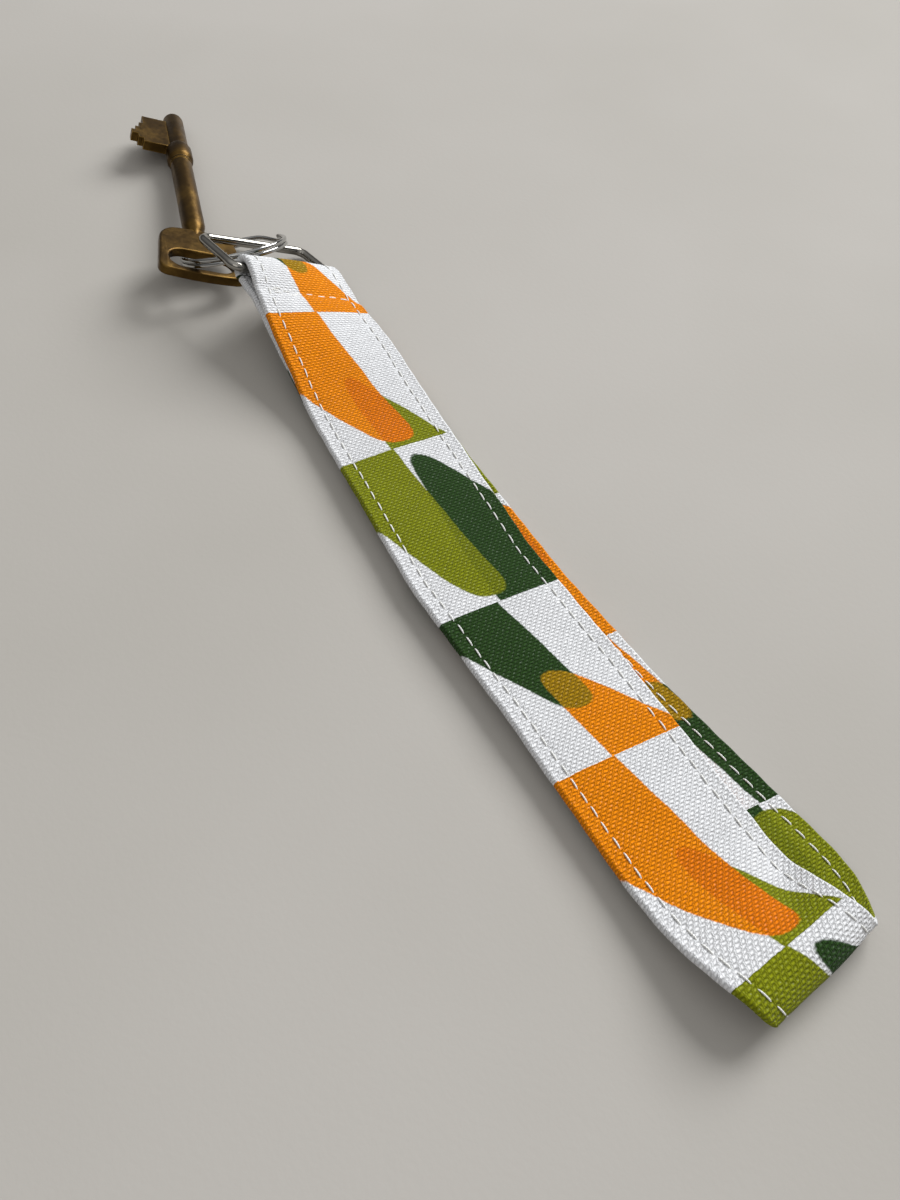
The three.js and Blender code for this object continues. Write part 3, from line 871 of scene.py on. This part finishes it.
def shank_mesh():
    """The shank, turned from a profile of (along, radius): root, groove, collar and rounded tip."""
    r, collar, tip, sides = SHANK_RADIUS, 3.18, SHANK_END, 40
    root = [(-1.5, 0), (-1.5, 1.0), (0.2, 1.3), (0.9, 1.7), (2.0, 2.25), (3.4, r)]
    groove = [(31.2, r), (31.5, r - 0.22), (31.9, r - 0.22), (32.2, r)]
    swell = [(32.9, r), (33.5, 3.0), (34.1, collar), (38.1, collar), (38.7, 3.02), (39.1, 2.72),
             (39.4, r), (40.2, r)]
    end = [(53.4, r), (54.2, r - 0.2), (54.7, r - 0.6), (tip, r - 1.2), (tip, 0)]
    profile = root + groove + swell + end
    angle = np.linspace(0, 2 * math.pi, sides, endpoint=False)
    rings = [(x, y * math.cos(t), y * math.sin(t)) for x, y in profile[1:-1] for t in angle]
    points = np.array(rings + [(profile[0][0], 0, 0), (profile[-1][0], 0, 0)]) * MM
    count = len(profile) - 2
    faces = [list(f)[::-1] for f in grid_faces(count, sides)]
    root_point, tip_point, last_ring = count * sides, count * sides + 1, (count - 1) * sides
    for j in range(sides):
        k = (j + 1) % sides
        faces += [[root_point, j, k], [tip_point, last_ring + k, last_ring + j]]
    mesh = bpy.data.meshes.new("shank")
    mesh.from_pydata([tuple(p) for p in points], [], faces)
    return mesh


def key(material):
    """The shank, bow and bit joined into one solid."""
    parts = [bpy.data.objects.new(m.name, m) for m in (shank_mesh(), bow_plate(), bit_plate())]
    for part in parts:
        bpy.context.scene.collection.objects.link(part)
        made = bmesh.new()
        made.from_mesh(part.data)
        bmesh.ops.remove_doubles(made, verts=made.verts, dist=1e-6)
        bmesh.ops.recalc_face_normals(made, faces=made.faces)
        made.to_mesh(part.data)
        made.free()
    whole = parts[0]
    for part in parts[1:]:
        join = whole.modifiers.new("join", "BOOLEAN")
        join.operation = "UNION"
        join.solver = "EXACT"
        join.object = part
    bpy.context.view_layer.update()
    mesh = bpy.data.meshes.new_from_object(whole.evaluated_get(bpy.context.evaluated_depsgraph_get()))
    for part in parts:
        bpy.data.objects.remove(part)
    made = bmesh.new()
    made.from_mesh(mesh)
    bmesh.ops.remove_doubles(made, verts=made.verts, dist=2e-6)
    # the flats of the bow and bit, which are over a square millimetre, are not shaded smooth
    for face in made.faces:
        face.smooth = abs(face.normal.z) < 0.999 or face.calc_area() < 1e-6
        face.material_index = 0
    for edge in made.edges:
        edge.smooth = len(edge.link_faces) == 2 and edge.calc_face_angle(0) < SMOOTH_BELOW
    made.to_mesh(mesh)
    made.free()
    mesh.materials.clear()
    mesh.materials.append(material)
    mesh.transform(Matrix.Translation(row(KEY_PLACE)) @ turned(*KEY_TURNS).to_4x4())
    thing = bpy.data.objects.new("lever_key", mesh)
    bpy.context.scene.collection.objects.link(thing)
    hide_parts("key")
    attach(thing, "key")


# ---- floor and light ------------------------------------------------------------------------

FLOOR_HALF = 40.0
WORLD_STRENGTH = 0.75
# the room's brightness, from 0 at the horizon and below it to 1 straight above
WORLD_STOPS = ((0.0, grey(0.34)), (0.10, grey(0.22)), (0.25, grey(0.12)), (0.55, grey(0.36)),
               (1.0, grey(0.95)))


def make_floor():
    n = Nodes("pale_floor")
    place = n.place()
    tone = n.ramp(n.noise(place, 7, 4.0), [(0.35, srgb("ADA9A2")), (0.65, srgb("B4B0AA"))])
    n.set(Base_Color=tone, Roughness=0.85, Normal=n.bump(n.noise(place, 900, 3.0), 0.12, 0.0002))
    mesh = bpy.data.meshes.new("floor")
    corners = [(x * FLOOR_HALF, y * FLOOR_HALF, 0) for x, y in ((-1, -1), (1, -1), (1, 1), (-1, 1))]
    mesh.from_pydata(corners, [], [(0, 1, 2, 3)])
    mesh.materials.append(n.material)
    floor = bpy.data.objects.new("floor", mesh)
    bpy.context.scene.collection.objects.link(floor)


def add_area(name, place, target, size, power, colour):
    light = bpy.data.lights.new(name, "AREA")
    light.shape = "RECTANGLE"
    light.size, light.size_y = size
    light.energy = power
    light.color = colour
    lamp = bpy.data.objects.new(name, light)
    lamp.location = place
    lamp.rotation_mode = "QUATERNION"
    lamp.rotation_quaternion = (Vector(target) - Vector(place)).to_track_quat("-Z", "Y")
    bpy.context.scene.collection.objects.link(lamp)


def make_lights():
    add_area("window", place=(0.7, -2.0, 1.5), target=(-0.02, 0, 0), size=(1.7, 1.4), power=82.0,
             colour=(0.98, 0.99, 1.0))
    add_area("fill", place=(-0.8, 0.7, 0.9), target=(0, 0, 0), size=(0.9, 0.9), power=2.0,
             colour=(1.0, 0.97, 0.93))
    world = bpy.data.worlds.new("studio")
    bpy.context.scene.world = world
    world.use_nodes = True
    tree = world.node_tree
    place = tree.nodes.new("ShaderNodeTexCoord").outputs["Generated"]
    split = tree.nodes.new("ShaderNodeSeparateXYZ")
    tree.links.new(place, split.inputs[0])
    ramp = tree.nodes.new("ShaderNodeValToRGB")
    set_stops(ramp.color_ramp, WORLD_STOPS)
    tree.links.new(split.outputs[2], ramp.inputs[0])
    tree.links.new(ramp.outputs[0], tree.nodes["Background"].inputs[0])
    tree.nodes["Background"].inputs[1].default_value = WORLD_STRENGTH
    bpy.context.scene.view_settings.view_transform = "Standard"


make_camera()
make_floor()
make_lights()
wrist_loop(fabric_material(), thread_material())
wire_ring(steel_material("plated_wire", srgb("A19E97"), 0.11, 0.10))
split_ring(steel_material("split_ring_steel", srgb("B4B4B2"), 0.10, 0.08))
key(brass_material())
